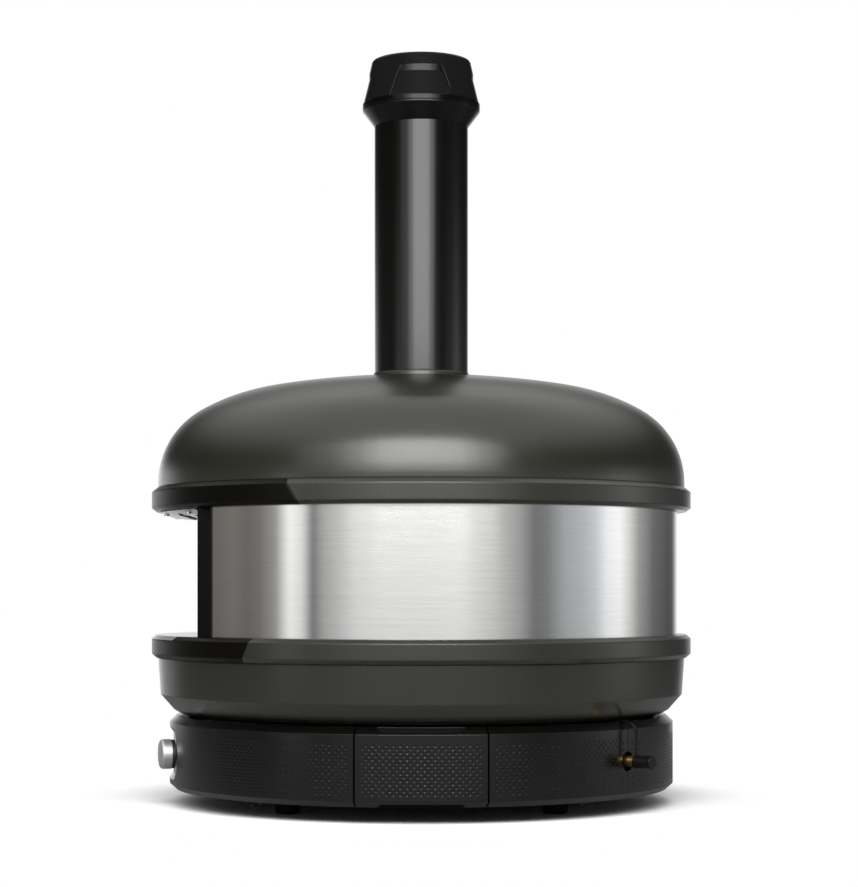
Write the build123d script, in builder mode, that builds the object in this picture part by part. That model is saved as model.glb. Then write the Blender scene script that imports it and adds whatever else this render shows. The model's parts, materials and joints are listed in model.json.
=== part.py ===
from build123d import *
import os
from math import atan2, cos, degrees, radians, sin, sqrt, tan

os.makedirs("parts", exist_ok=True)

# Portable gas pizza oven. The origin is on the floor below the flue, +Z is up
# and the mouth looks along -Y. All lengths are in millimetres.

# Heights of the stacked sections
foot_height = 19.3
base_height = 86.2
base_gap = 3.0
casing_height = 65.0
rim_height = 27.0
band_height = 145.5
upper_rim_height = 27.8
collar_height = 138.6
flue_height = 295.3

# Outer radii
base_radius = 300.0
casing_radius = 313.6
rim_overhang = 7.6
band_in = 8.1
dome_radius = 313.8
flue_radius = 56.0
rim_radius = casing_radius + rim_overhang
band_radius = casing_radius - band_in

# Sheets and fits
shell_sheet = 2.0
thin_sheet = 1.5
slide_fit = 0.3
shaft_fit = 0.05
overrun = 20.0

# Levels worked out from the stack
base_bottom = foot_height
base_top = base_bottom + base_height
casing_bottom = base_top + base_gap
rim_bottom = casing_bottom + casing_height
hearth_level = rim_bottom + rim_height
canopy_level = hearth_level + band_height
dome_base = canopy_level + upper_rim_height
flue_base = dome_base + collar_height
flue_top = flue_base + flue_height

# Azimuths, counted from +X towards +Y
front = -90.0
rear = 90.0
right = 0.0
left = 180.0
quarter_turn = 90.0


# Outer dome, from its straight foot up to the neck
dome_straight = 6.2
dome_shoulder = 98.0
dome_shoulder_turn = 60.0
dome_haunch = 230.6
dome_haunch_turn = 20.0
neck_foot_radius = 58.7
neck_height = 6.6
neck_top_radius = 57.0
collar_overlap = 30.0
collar_flange_radius = 66.0

# Cowl, damper and cap on top of the flue
cowl_radius = 70.1
cowl_height = 18.6
cowl_lip = 2.0
cap_radius = 70.3
cap_sheet = 2.5
cap_lip = 6.0
cap_round_radius = 59.4
cap_round_drop = 2.0
cap_top_radius = 57.9
cap_rise = 78.3
cap_mouth_radius = 45.0
damper_openings = 4
damper_start_turn = 22.5
damper_hub = 14.0
damper_hole_radius = 62.0
scoop_drop = 15.0
scoop_lip_height = 7.5
scoop_foot_in = 0.8
scoop_low_half = 37.5
scoop_high_half = 24.2
scoop_corner = 8.0

neck_foot_level = flue_base - neck_height
cap_top = flue_top + cap_rise
collar_radius = flue_radius - thin_sheet - slide_fit
neck_inner = collar_radius + slide_fit


def write_piece(piece, name):
    """Label a finished piece and write it to its own file."""
    piece.part.label = name
    export_step(piece.part, f"parts/{name}.step")


def around(radius, azimuth, height):
    """A point at a radius, an azimuth and a height."""
    turn = radians(azimuth)
    return (radius * cos(turn), radius * sin(turn), height)


def wall_plane(azimuth):
    """The upright plane that holds the oven's axis and looks outwards along an azimuth."""
    return Plane(
        origin=(0, 0, 0),
        x_dir=around(1, azimuth, 0),
        z_dir=around(1, azimuth - 90, 0),
    )


def radial_plane(azimuth, radius, height):
    """A plane square to the radius, facing outwards, with its y direction upwards."""
    return Plane(
        origin=around(radius, azimuth, height),
        x_dir=around(1, azimuth + 90, 0),
        z_dir=around(1, azimuth, 0),
    )


def sheet_outline(points, sheet):
    """Close the outline of a bent sheet, one sheet thick to the left of its run."""
    corners = [Vector(*point) for point in points]
    runs = [(after - before).normalized() for before, after in zip(corners, corners[1:])]
    sides = [Vector(-run.Y, run.X) for run in runs]
    inner = [corners[0] + sides[0] * sheet]
    for corner, before, after in zip(corners[1:], sides, sides[1:]):
        inner.append(corner + (before + after) * (sheet / (1 + before.dot(after))))
    inner.append(corners[-1] + sides[-1] * sheet)
    return corners + inner[::-1]


def turned(outline, start=0.0, arc=360.0, mode=Mode.ADD):
    """Turn an outline of radius and height points about the oven's axis."""
    with BuildSketch(wall_plane(start)) as profile:
        Polygon(*outline, align=None)
    revolve(profile.sketch, axis=Axis.Z, revolution_arc=arc, mode=mode)


def hole_at(plane, radius, depth):
    """Cut a round hole of a radius from a plane, to both sides of it."""
    with Locations(plane):
        Cylinder(radius, 2 * depth, mode=Mode.SUBTRACT)


def wedge(azimuth, low, high, low_half, high_half, extra=0.0):
    """The piece of pie round an azimuth whose two sides slant from one half angle to another."""
    reach = rim_radius * wedge_reach_share
    with BuildPart() as pie:
        for level, half in ((low, low_half), (high, high_half)):
            spread = half + degrees(extra / rim_radius)
            with BuildSketch(Plane.XY.offset(level)):
                Polygon(
                    (0, 0),
                    around(reach, azimuth - spread, 0)[:2],
                    around(reach, azimuth + spread, 0)[:2],
                    align=None,
                )
        loft(ruled=True)
    return pie.part


wedge_reach_share = 3.0

# Feet, under the base at the corners of a square
foot_spacing = 304.0
foot_top_radius = 16.5
foot_bottom_radius = 13.5
foot_round = 2.5
foot_screw_radius = 2.5
foot_recess_radius = 6.0
foot_recess_depth = 9.0
foot_signs = {
    "right_front": (1, -1),
    "right_rear": (1, 1),
    "left_front": (-1, -1),
    "left_rear": (-1, 1),
}

for corner, (side, end) in foot_signs.items():
    foot_x = side * foot_spacing / 2
    foot_y = end * foot_spacing / 2
    with BuildPart() as foot:
        with BuildSketch(Plane((foot_x, foot_y, 0))):
            Circle(foot_bottom_radius)
        with BuildSketch(Plane((foot_x, foot_y, foot_height))):
            Circle(foot_top_radius)
        loft()
        fillet(foot.faces().sort_by(Axis.Z)[0].edges(), foot_round)
        hole_at(Plane((foot_x, foot_y, 0)), foot_recess_radius, foot_recess_depth)
        hole_at(Plane((foot_x, foot_y, 0)), foot_screw_radius + shaft_fit, foot_height + overrun)
    write_piece(foot, f"foot_{corner}")

# Screws with a round head: the feet's, from below up into the base pan
screw_head_radius = 5.0
screw_head_height = 3.0
foot_screw_reach = 4.0

with BuildPart() as foot_screws:
    for side, end in foot_signs.values():
        seat = Plane((side * foot_spacing / 2, end * foot_spacing / 2, foot_recess_depth))
        with Locations(seat):
            Cylinder(
                screw_head_radius, screw_head_height, align=(Align.CENTER, Align.CENTER, Align.MAX)
            )
            Cylinder(
                foot_screw_radius,
                foot_height - foot_recess_depth + shell_sheet + foot_screw_reach,
                align=(Align.CENTER, Align.CENTER, Align.MIN),
            )

# Brackets that hook the oven to its stand, outboard of the feet
clip_width = 18.0
clip_sheet = 1.5
clip_inner_y = 169.0
clip_flange = 9.0
clip_drop = 12.0
clip_slant = 4.0
clip_hole_radius = 3.25
clip_rivet_radius = 1.6
clip_rivet_head = 3.0
clip_rivet_cap = 1.0

clip_bottom = base_bottom - clip_drop
clip_web_y = clip_inner_y + clip_flange
clip_hole_y = clip_web_y + clip_slant + clip_flange / 2
clip_outline = sheet_outline(
    [
        (clip_inner_y, base_bottom - clip_sheet),
        (clip_web_y, base_bottom - clip_sheet),
        (clip_web_y + clip_slant, clip_bottom),
        (clip_web_y + clip_slant + clip_flange, clip_bottom),
    ],
    clip_sheet,
)
clip_rivet_y = clip_inner_y + clip_flange / 2

with BuildPart() as stand_clips:
    for side, end in foot_signs.values():
        clip_x = side * foot_spacing / 2
        with BuildSketch(Plane((clip_x, 0, 0), x_dir=(0, end, 0), z_dir=(end, 0, 0))):
            Polygon(*clip_outline, align=None)
        extrude(amount=clip_width / 2, both=True)
        hole_at(Plane((clip_x, end * clip_hole_y, clip_bottom)), clip_hole_radius, clip_sheet * 2)
        hole_at(
            Plane((clip_x, end * clip_rivet_y, base_bottom)),
            clip_rivet_radius + shaft_fit,
            clip_sheet * 2,
        )
write_piece(stand_clips, "stand_clips")

with BuildPart() as clip_rivets:
    for side, end in foot_signs.values():
        rivet_plane = Plane((side * foot_spacing / 2, end * clip_rivet_y, base_bottom))
        with Locations(rivet_plane.offset(-clip_sheet)):
            Cylinder(
                clip_rivet_head, clip_rivet_cap, align=(Align.CENTER, Align.CENTER, Align.MAX)
            )
            Cylinder(
                clip_rivet_radius,
                clip_sheet + shell_sheet,
                align=(Align.CENTER, Align.CENTER, Align.MIN),
            )
        with Locations(rivet_plane.offset(shell_sheet)):
            Cylinder(
                clip_rivet_head, clip_rivet_cap, align=(Align.CENTER, Align.CENTER, Align.MIN)
            )

# Base pan, the pressed tray that carries everything
panel_lip = 3.8
lower_chamfer_in = 7.2
lower_chamfer_up = 6.5
upper_chamfer_in = 8.0
upper_chamfer_up = 7.5
panel_flange = 12.0

pan_radius = base_radius - lower_chamfer_in - panel_lip - slide_fit
plate_top = base_top - shell_sheet - slide_fit
plate_bottom = plate_top - shell_sheet

# Gas controls: the knob's axis and the gas inlet, at the middle of the base's wall
control_height = (base_bottom + lower_chamfer_up + base_top - upper_chamfer_up) / 2
knob_offset = 14.5
knob_azimuth = front + knob_offset
inlet_azimuth = 50.3
spindle_radius = 4.0
nipple_radius = 6.58
venturi_y = 205.0
venturi_radius = 12.0
spacer_ring = 269.0
spacer_count = 6
spacer_turn = 30.0
spacer_radius = 9.0
spacer_bolt_radius = 3.0
spacer_nut_radius = 6.0
spacer_nut_height = 3.0

with BuildPart() as base_pan:
    turned(sheet_outline([(0, base_bottom), (pan_radius, base_bottom), (pan_radius, plate_bottom)],
                         shell_sheet))
    for side, end in foot_signs.values():
        corner_plane = Plane((side * foot_spacing / 2, end * foot_spacing / 2, base_bottom))
        hole_at(corner_plane, foot_screw_radius + shaft_fit, shell_sheet * 2)
        rivet_plane = Plane((side * foot_spacing / 2, end * clip_rivet_y, base_bottom))
        hole_at(rivet_plane, clip_rivet_radius + shaft_fit, shell_sheet * 2)
    hole_at(
        radial_plane(knob_azimuth, pan_radius, control_height), spindle_radius * 2, shell_sheet * 2
    )
    hole_at(
        radial_plane(inlet_azimuth, pan_radius, control_height),
        nipple_radius + slide_fit,
        shell_sheet * 2,
    )
write_piece(base_pan, "base_pan")

with BuildPart() as base_top_plate:
    turned([(0, plate_bottom), (pan_radius, plate_bottom), (pan_radius, plate_top), (0, plate_top)])
    hole_at(Plane((0, venturi_y, plate_top)), venturi_radius + slide_fit, shell_sheet * 2)
    with PolarLocations(spacer_ring, spacer_count, start_angle=spacer_turn):
        Cylinder(
            spacer_bolt_radius + shaft_fit,
            2 * base_top + overrun,
            mode=Mode.SUBTRACT,
        )
write_piece(base_top_plate, "base_top_plate")

# Spacers that keep the hot casing off the base, each on its own bolt
with BuildPart() as heat_spacers:
    with BuildSketch(Plane.XY.offset(plate_top)):
        with PolarLocations(spacer_ring, spacer_count, start_angle=spacer_turn):
            Circle(spacer_radius)
            Circle(spacer_bolt_radius + shaft_fit, mode=Mode.SUBTRACT)
    extrude(amount=casing_bottom - plate_top)
write_piece(heat_spacers, "heat_spacers")

with BuildPart() as spacer_bolts:
    with BuildSketch(Plane.XY.offset(plate_bottom - spacer_nut_height)):
        with PolarLocations(spacer_ring, spacer_count, start_angle=spacer_turn):
            RegularPolygon(spacer_nut_radius, 6)
    extrude(amount=spacer_nut_height)
    with BuildSketch(Plane.XY.offset(plate_bottom)):
        with PolarLocations(spacer_ring, spacer_count, start_angle=spacer_turn):
            Circle(spacer_bolt_radius)
    extrude(amount=casing_bottom + thin_sheet - plate_bottom)
    with BuildSketch(Plane.XY.offset(casing_bottom + thin_sheet)):
        with PolarLocations(spacer_ring, spacer_count, start_angle=spacer_turn):
            Circle(spacer_bolt_radius * 2)
    extrude(amount=spacer_nut_height)

with BuildPart() as base_fasteners:
    for fasteners in (foot_screws, clip_rivets, spacer_bolts):
        add(fasteners.part)
write_piece(base_fasteners, "base_fasteners")

# Wall panels of the base. The two middle side panels pull out sideways.
side_half_turn = 14.0
corner_azimuth = 50.3
pull_seam = 2.0
corner_seam = 0.8
notch_half = 48.0
notch_draw_in = 4.0
upper_notch = 5.9
lower_notch = 3.8
notch_web = 4.0
inlet_hole_radius = 11.0

panel_outline = sheet_outline(
    [
        (pan_radius + slide_fit, base_bottom),
        (base_radius - lower_chamfer_in, base_bottom),
        (base_radius, base_bottom + lower_chamfer_up),
        (base_radius, base_top - upper_chamfer_up),
        (base_radius - upper_chamfer_in, base_top),
        (base_radius - upper_chamfer_in - panel_flange, base_top),
    ],
    shell_sheet,
)


def wall_panel(start, end, start_seam, end_seam):
    """A panel between two seams, each given its half of the seam."""
    from_azimuth = start + degrees(start_seam / 2 / base_radius)
    to_azimuth = end - degrees(end_seam / 2 / base_radius)
    with BuildPart() as panel:
        turned(panel_outline, from_azimuth, to_azimuth - from_azimuth)
    return panel.part


def notch_prism(side, level, direction, depth):
    """The slot that fingers reach through at a pull-out panel's edge."""
    outer = notch_half + notch_draw_in * overrun / depth
    with BuildPart() as prism:
        with BuildSketch(Plane((0, 0, level), x_dir=(0, 1, 0), z_dir=(side, 0, 0))) as mouth:
            Polygon(
                (-(notch_half - notch_draw_in), -direction * depth * side),
                (notch_half - notch_draw_in, -direction * depth * side),
                (outer, direction * overrun * side),
                (-outer, direction * overrun * side),
                align=None,
            )
        extrude(mouth.sketch, amount=base_radius + overrun)
    return prism.part


notch_floor = base_radius - upper_chamfer_in - panel_flange + notch_web

with BuildPart() as notch_limit:
    turned(
        [
            (notch_floor, 0),
            (base_radius + overrun, 0),
            (base_radius + overrun, base_top + overrun),
            (notch_floor, base_top + overrun),
        ]
    )

for name, middle, side in (("right_panel", right, 1), ("left_panel", left, -1)):
    upper_slot = notch_prism(side, base_top, 1, upper_notch) & notch_limit.part
    with BuildPart() as pull_panel:
        add(wall_panel(middle - side_half_turn, middle + side_half_turn, pull_seam, pull_seam))
        add(upper_slot, mode=Mode.SUBTRACT)
        add(notch_prism(side, base_bottom, -1, lower_notch), mode=Mode.SUBTRACT)
    write_piece(pull_panel, name)

for name, start, end in (
    ("right_front_panel", right - corner_azimuth, right - side_half_turn),
    ("left_front_panel", left + side_half_turn, left + corner_azimuth),
    ("left_rear_panel", left - corner_azimuth, left - side_half_turn),
):
    start_seam = pull_seam if name == "left_front_panel" else corner_seam
    with BuildPart() as fixed_panel:
        add(wall_panel(start, end, start_seam, pull_seam + corner_seam - start_seam))
    write_piece(fixed_panel, name)

with BuildPart() as right_rear_panel:
    add(wall_panel(right + side_half_turn, right + corner_azimuth, pull_seam, corner_seam))
    hole_at(radial_plane(inlet_azimuth, base_radius, control_height), inlet_hole_radius, overrun)
write_piece(right_rear_panel, "right_rear_panel")

with BuildPart() as rear_panel:
    add(wall_panel(right + corner_azimuth, left - corner_azimuth, corner_seam, corner_seam))
    hole_at(radial_plane(inlet_azimuth, base_radius, control_height), inlet_hole_radius, overrun)
write_piece(rear_panel, "rear_panel")

# Recess for the gas controls: a rounded slot with sloped sides, its bare floor plate let in
recess_depth = 4.4
recess_half = 30.0
recess_floor_half = 24.2
plate_sheet = 1.2

recess_floor = base_radius - recess_depth
recess_slope = (recess_half - recess_floor_half) / recess_depth


def rounded_slot(floor_radius, floor_half, slope):
    """A slot along the front wall, from a floor radius outwards, as wide as its ends are round."""
    rise = base_radius + overrun - floor_radius
    outer_half = floor_half + slope * rise
    with BuildPart() as slot:
        turned(
            [
                (floor_radius, control_height - floor_half),
                (floor_radius + rise, control_height - outer_half),
                (floor_radius + rise, control_height + outer_half),
                (floor_radius, control_height + floor_half),
            ],
            front - knob_offset,
            2 * knob_offset,
        )
        for azimuth in (front - knob_offset, front + knob_offset):
            inner_plane = radial_plane(azimuth, floor_radius - shell_sheet, control_height)
            with BuildSketch(inner_plane):
                Circle(floor_half - slope * shell_sheet)
            with BuildSketch(inner_plane.offset(rise + shell_sheet)):
                Circle(outer_half)
            loft()
        turned(
            [(0, 0), (floor_radius, 0), (floor_radius, base_top), (0, base_top)],
            mode=Mode.SUBTRACT,
        )
    return slot.part


with BuildPart() as panel_limit:
    turned(
        [
            (0, 0),
            (base_radius - thin_sheet / 2, 0),
            (base_radius - thin_sheet / 2, base_top),
            (0, base_top),
        ]
    )

plate_floor = recess_floor - plate_sheet
recess_wall = rounded_slot(
    plate_floor - thin_sheet,
    recess_floor_half + thin_sheet,
    recess_slope,
) & panel_limit.part

with BuildPart() as front_panel:
    add(wall_panel(left + corner_azimuth, left + 180 - corner_azimuth, corner_seam, corner_seam))
    add(recess_wall)
    add(rounded_slot(recess_floor, recess_floor_half, recess_slope), mode=Mode.SUBTRACT)
    add(rounded_slot(plate_floor, recess_floor_half + shaft_fit, 0), mode=Mode.SUBTRACT)
    hole_at(radial_plane(knob_azimuth, plate_floor, control_height), spindle_radius * 1.5, overrun)
write_piece(front_panel, "front_panel")

with BuildPart() as recess_limit:
    turned(
        [(0, 0), (recess_floor, 0), (recess_floor, base_top), (0, base_top)],
    )

with BuildPart() as control_plate:
    add(rounded_slot(plate_floor, recess_floor_half, 0) & recess_limit.part)
    hole_at(radial_plane(knob_azimuth, plate_floor, control_height), spindle_radius * 1.5, overrun)
write_piece(control_plate, "control_plate")

# Studs that hold the fixed panels to the pan, and magnets behind the pull-out ones
stud_radius = 5.0
stud_heights_shares = (0.25, 0.75)
panel_inner = base_radius - shell_sheet


def wall_pads(azimuths, outer_radius):
    """Round pads between the pan's wall and the panels, cut to both curves."""
    with BuildPart() as pads:
        for azimuth in azimuths:
            for share in stud_heights_shares:
                height = base_bottom + share * base_height
                with Locations(radial_plane(azimuth, pan_radius - shell_sheet, height)):
                    Cylinder(
                        stud_radius,
                        base_radius - pan_radius + shell_sheet,
                        align=(Align.CENTER, Align.CENTER, Align.MIN),
                    )
        turned(
            [(pan_radius, 0), (outer_radius, 0), (outer_radius, base_top), (pan_radius, base_top)],
            mode=Mode.INTERSECT,
        )
    return pads.part


stud_step = 9.0
stud_azimuths = []
for seam in (right + side_half_turn, left + side_half_turn):
    stud_azimuths += [seam + stud_step, seam + corner_azimuth - side_half_turn - stud_step]
for seam in (right - side_half_turn, left - side_half_turn):
    stud_azimuths += [seam - stud_step, seam - corner_azimuth + side_half_turn + stud_step]
for middle in (front, rear):
    span = 90 - corner_azimuth - stud_step
    stud_azimuths += [middle - span, middle + span]

magnet_azimuths = [middle + turn for middle in (right, left) for turn in (-stud_step, stud_step)]

with BuildPart() as panel_pads:
    add(wall_pads(stud_azimuths, panel_inner))
    add(wall_pads(magnet_azimuths, panel_inner - slide_fit))
write_piece(panel_pads, "panel_pads")

# Gas train, all of it at the height of the knob
pipe_ring_in = 55.0
pipe_radius = 4.0
pipe_bore = 3.0
fitting_half = 9.0
inlet_depth = 30.0
nipple_reach = 10.0
spigot_radius = 4.75
spigot_reach = 16.0
nipple_bore = 3.0
nut_across = 20.0
nut_length = 6.0
valve_half_width = 13.0
valve_rear_in = 78.0
valve_front_in = 24.0
plug_radius = 6.0
plug_rear_in = 68.0
plug_front_in = 38.0
spring_bore = 8.0
jet_half = 8.0
jet_post_radius = 5.0
jet_nozzle_radius = 3.0
jet_nozzle_height = 12.0

pipe_ring = base_radius - pipe_ring_in
valve_rear = base_radius - valve_rear_in
valve_front = base_radius - valve_front_in
plug_rear = base_radius - plug_rear_in
plug_front = base_radius - plug_front_in


def pipe_about(ring, height, radius, start, end, mode=Mode.ADD):
    """A round bar bent about the oven's axis between two azimuths."""
    with BuildSketch(wall_plane(start)) as section_face:
        with Locations((ring, height)):
            Circle(radius)
    revolve(section_face.sketch, axis=Axis.Z, revolution_arc=end - start, mode=mode)


def radial_rod(azimuth, from_radius, to_radius, radius, mode=Mode.ADD):
    """A round rod along a radius of the oven at the height of the gas train."""
    with Locations(radial_plane(azimuth, from_radius, control_height)):
        Cylinder(
            radius, to_radius - from_radius, align=(Align.CENTER, Align.CENTER, Align.MIN), mode=mode
        )


elbow_turn = degrees(fitting_half / 2 / pipe_ring)
valve_turn = degrees(valve_half_width / 2 / pipe_ring)
elbow_outer = pan_radius - shell_sheet - slide_fit
pipe_start = knob_azimuth + valve_turn
pipe_end = inlet_azimuth - elbow_turn

with BuildPart() as supply_pipe:
    pipe_about(pipe_ring, control_height, pipe_radius, pipe_start, pipe_end)
    pipe_about(pipe_ring, control_height, pipe_bore, pipe_start, pipe_end, Mode.SUBTRACT)
write_piece(supply_pipe, "supply_pipe")

with BuildPart() as inlet_elbow:
    with Locations(radial_plane(inlet_azimuth, pipe_ring - fitting_half, control_height)):
        Box(
            2 * fitting_half,
            2 * fitting_half,
            elbow_outer - pipe_ring + fitting_half,
            align=(Align.CENTER, Align.CENTER, Align.MIN),
        )
    radial_rod(inlet_azimuth, elbow_outer - inlet_depth, elbow_outer, nipple_radius, Mode.SUBTRACT)
    radial_rod(inlet_azimuth, pipe_ring, elbow_outer, nipple_bore, Mode.SUBTRACT)
    pipe_about(
        pipe_ring, control_height, pipe_radius, pipe_end - elbow_turn * 2, pipe_end, Mode.SUBTRACT
    )
    pipe_about(pipe_ring, control_height, pipe_bore, pipe_end, inlet_azimuth, Mode.SUBTRACT)
write_piece(inlet_elbow, "inlet_elbow")

# Threaded inlet that the hose or the dust cap goes on
nipple_end = base_radius + nipple_reach
spigot_end = nipple_end + spigot_reach

with BuildPart() as inlet_nipple:
    radial_rod(inlet_azimuth, elbow_outer - inlet_depth, nipple_end, nipple_radius)
    radial_rod(inlet_azimuth, nipple_end, spigot_end, spigot_radius)
    radial_rod(
        inlet_azimuth, elbow_outer - inlet_depth - overrun, spigot_end + overrun, nipple_bore,
        Mode.SUBTRACT,
    )
write_piece(inlet_nipple, "inlet_nipple")

with BuildPart() as inlet_lock_nut:
    with BuildSketch(radial_plane(inlet_azimuth, pan_radius, control_height)):
        RegularPolygon(nut_across / 2, 6, major_radius=False)
        Circle(nipple_radius + shaft_fit, mode=Mode.SUBTRACT)
    extrude(amount=nut_length)
write_piece(inlet_lock_nut, "inlet_lock_nut")

# Rubber dust cap on the inlet, and the strap that keeps it with the oven
dust_cap_radius = 7.15
dust_cap_length = 23.5
dust_cap_flange = 7.7
dust_cap_flange_length = 2.5
dust_cap_grip = 0.3
strap_width = 4.0
strap_sheet = 1.5
strap_curve = 17.0

cap_inner_end = nipple_end + slide_fit
cap_outer_end = nipple_end + dust_cap_length

with BuildPart() as dust_cap:
    radial_rod(inlet_azimuth, cap_inner_end, cap_outer_end, dust_cap_radius)
    radial_rod(
        inlet_azimuth, cap_outer_end - dust_cap_flange_length, cap_outer_end, dust_cap_flange
    )
    radial_rod(
        inlet_azimuth, cap_inner_end - overrun, spigot_end + slide_fit,
        spigot_radius + dust_cap_grip, Mode.SUBTRACT,
    )
    fillet(dust_cap.faces().sort_by(Axis((0, 0, 0), around(1, inlet_azimuth, 0)))[-1].edges(),
           dust_cap_flange_length / 4)
write_piece(dust_cap, "dust_cap")

strap_radius = cap_inner_end + strap_width / 2
strap_foot = control_height + dust_cap_radius
strap_top = base_top + base_gap / 2
strap_end_radius = base_radius - upper_chamfer_in - panel_flange - slide_fit

with BuildPart() as cap_tether:
    with BuildLine(wall_plane(inlet_azimuth)) as strap_path:
        FilletPolyline(
            (strap_radius, strap_foot),
            (strap_radius, strap_top),
            (strap_end_radius, strap_top),
            radius=strap_curve,
        )
    with BuildSketch(Plane(around(strap_radius, inlet_azimuth, strap_foot),
                           x_dir=around(1, inlet_azimuth + 90, 0), z_dir=(0, 0, 1))):
        Rectangle(strap_width, strap_sheet)
    sweep(path=strap_path.line)
write_piece(cap_tether, "cap_tether")

# Valve on the knob's axis: body, turning plug, spindle and its spring
knob_stand = 2.3
knob_radius = 17.35
knob_length = 13.1
knob_edge_round = 4.5
knob_travel = 2.0
knob_collar_radius = 16.75
spindle_flat = 2.8
spindle_depth = 12.0
shoulder_radius = 7.0
shoulder_length = 3.0
bonnet_sheet = 2.5

knob_back = base_radius + knob_stand
knob_face = knob_back + knob_length
collar_back = recess_floor + knob_travel + slide_fit
spindle_inner = plug_front - spindle_depth
spindle_outer = knob_face - knob_edge_round - knob_stand


def flatted_rod(from_radius, to_radius, radius, flat, mode=Mode.ADD):
    """A rod on the knob's axis with one flat along it."""
    with BuildSketch(radial_plane(knob_azimuth, from_radius, control_height)) as rod_face:
        Circle(radius)
        with Locations((0, flat + radius)):
            Rectangle(2 * radius, 2 * radius, mode=Mode.SUBTRACT)
    extrude(rod_face.sketch, amount=to_radius - from_radius, mode=mode)


with BuildPart() as valve_body:
    with Locations(radial_plane(knob_azimuth, valve_rear, control_height)):
        Box(
            2 * valve_half_width,
            2 * valve_half_width,
            valve_front - valve_rear,
            align=(Align.CENTER, Align.CENTER, Align.MIN),
        )
    radial_rod(knob_azimuth, plug_rear, plug_front, plug_radius + shaft_fit, Mode.SUBTRACT)
    radial_rod(knob_azimuth, plug_front, valve_front, spring_bore, Mode.SUBTRACT)
    radial_rod(knob_azimuth, valve_rear - overrun, plug_rear, pipe_radius, Mode.SUBTRACT)
    pipe_about(
        pipe_ring, control_height, pipe_radius, pipe_start, pipe_start + valve_turn * 2,
        Mode.SUBTRACT,
    )
    pipe_about(pipe_ring, control_height, pipe_bore, knob_azimuth, pipe_start, Mode.SUBTRACT)
write_piece(valve_body, "valve_body")

with BuildPart() as valve_bonnet:
    with Locations(radial_plane(knob_azimuth, valve_front, control_height)):
        Box(
            2 * valve_half_width,
            2 * valve_half_width,
            bonnet_sheet,
            align=(Align.CENTER, Align.CENTER, Align.MIN),
        )
    radial_rod(
        knob_azimuth, valve_front - overrun, valve_front + overrun, spindle_radius + shaft_fit,
        Mode.SUBTRACT,
    )
write_piece(valve_bonnet, "valve_bonnet")

with BuildPart() as valve_plug:
    radial_rod(knob_azimuth, plug_rear + slide_fit, plug_front - slide_fit, plug_radius)
    flatted_rod(
        spindle_inner - knob_travel - slide_fit, plug_front, spindle_radius + shaft_fit,
        spindle_flat + shaft_fit, Mode.SUBTRACT,
    )
write_piece(valve_plug, "valve_plug")

with BuildPart() as valve_spindle:
    flatted_rod(spindle_inner, spindle_outer, spindle_radius, spindle_flat)
    radial_rod(
        knob_azimuth, valve_front - slide_fit - shoulder_length, valve_front - slide_fit,
        shoulder_radius,
    )
write_piece(valve_spindle, "valve_spindle")

# The spring is drawn at the length that it has with the knob pushed in
spring_wire = 0.7
spring_turns = 4
spring_seat = plug_front
spring_end = valve_front - 2 * slide_fit - shoulder_length - knob_travel
spring_radius = spring_bore - spring_wire - slide_fit
spring_length = spring_end - spring_seat - 2 * spring_wire - slide_fit

with BuildPart() as valve_spring:
    spring_plane = radial_plane(knob_azimuth, spring_seat + spring_wire + slide_fit, control_height)
    with BuildLine() as spring_path:
        Helix(
            spring_length / spring_turns,
            spring_length,
            spring_radius,
            center=spring_plane.origin,
            direction=spring_plane.z_dir,
        )
    with BuildSketch(Plane(spring_path.line @ 0, z_dir=spring_path.line % 0)):
        Circle(spring_wire)
    sweep(path=spring_path.line, is_frenet=True)
write_piece(valve_spring, "valve_spring")

with BuildPart() as control_knob:
    radial_rod(knob_azimuth, knob_back, knob_face, knob_radius)
    fillet(
        control_knob.faces().sort_by(Axis((0, 0, 0), around(1, knob_azimuth, 0)))[-1].edges(),
        knob_edge_round,
    )
    flatted_rod(
        knob_back, spindle_outer, spindle_radius + shaft_fit, spindle_flat + shaft_fit,
        Mode.SUBTRACT,
    )
write_piece(control_knob, "control_knob")

with BuildPart() as knob_collar:
    radial_rod(knob_azimuth, collar_back, knob_back, knob_collar_radius)
    flatted_rod(
        collar_back, knob_back, spindle_radius + shaft_fit, spindle_flat + shaft_fit, Mode.SUBTRACT
    )
write_piece(knob_collar, "knob_collar")

# Pipe from the valve across the base to the jet below the venturi
gas_pipe_bend = 100.0

with BuildPart() as gas_pipe:
    with BuildLine(Plane.XY.offset(control_height)) as gas_path:
        FilletPolyline(
            around(plug_rear - pipe_radius, knob_azimuth, 0)[:2],
            (0, 0),
            (0, venturi_y - jet_half / 2),
            radius=gas_pipe_bend,
        )
    with BuildSketch(radial_plane(knob_azimuth, plug_rear - pipe_radius, control_height)):
        Circle(pipe_radius)
        Circle(pipe_bore, mode=Mode.SUBTRACT)
    sweep(path=gas_path.line)
write_piece(gas_pipe, "gas_pipe")

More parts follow.
